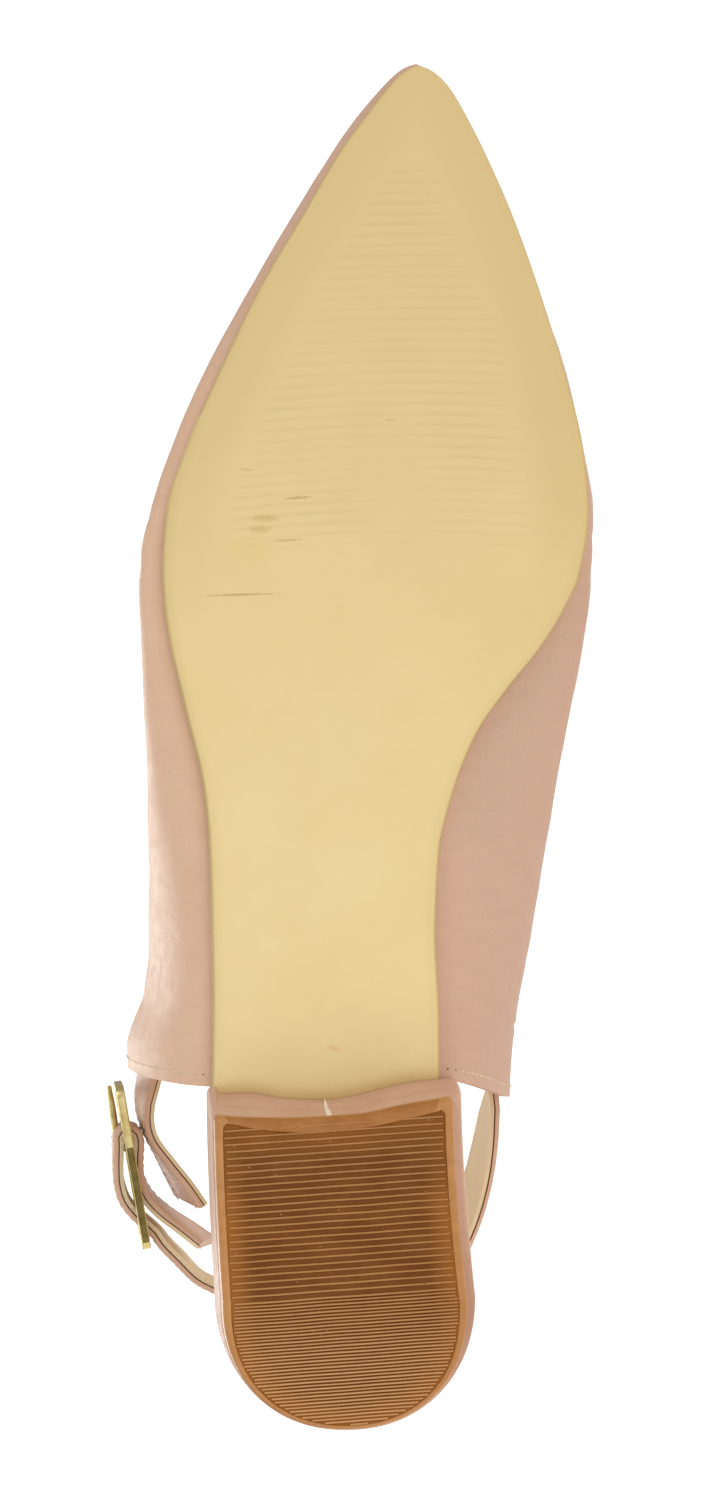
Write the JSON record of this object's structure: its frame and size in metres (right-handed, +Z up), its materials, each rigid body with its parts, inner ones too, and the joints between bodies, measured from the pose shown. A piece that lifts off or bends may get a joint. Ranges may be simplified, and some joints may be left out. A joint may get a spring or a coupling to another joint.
{
  "type": "slingback flat shoe",
  "caption": "Pointed-toe slingback flat for the right foot, with a low block heel and a buckled strap, lying on its inner side with the sole facing the front",
  "frame": {"origin": "on the floor under the middle of the shoe's bounding box, as it lies on its inner side", "axes": "+X along the shoe to the toe, which is lifted by about nine degrees; -Y the way the sole faces; +Z up, toward the outer side with the buckle"},
  "size_m": [0.274, 0.0748, 0.0904],
  "materials": {
    "sole_cream": "smooth moulded, lightly soiled",
    "insole_beige": "smooth lining leather",
    "upper_pink": "fine grained, satin",
    "heel_pink": "stretched over the block, satin",
    "wear_brown": "ribbed, satin",
    "strap_pink": "folded edge, satin",
    "buckle_gilt": "polished, pale gilt"
  },
  "bodies": {
    "root": {"outsole": "sole_cream", "insole": "insole_beige", "upper": "upper_pink", "heel": "heel_pink", "top_piece": "wear_brown", "heel_strap": "strap_pink", "front_strap": "strap_pink", "buckle_frame": "buckle_gilt", "buckle_prong": "buckle_gilt"}
  },
  "joints": []
}
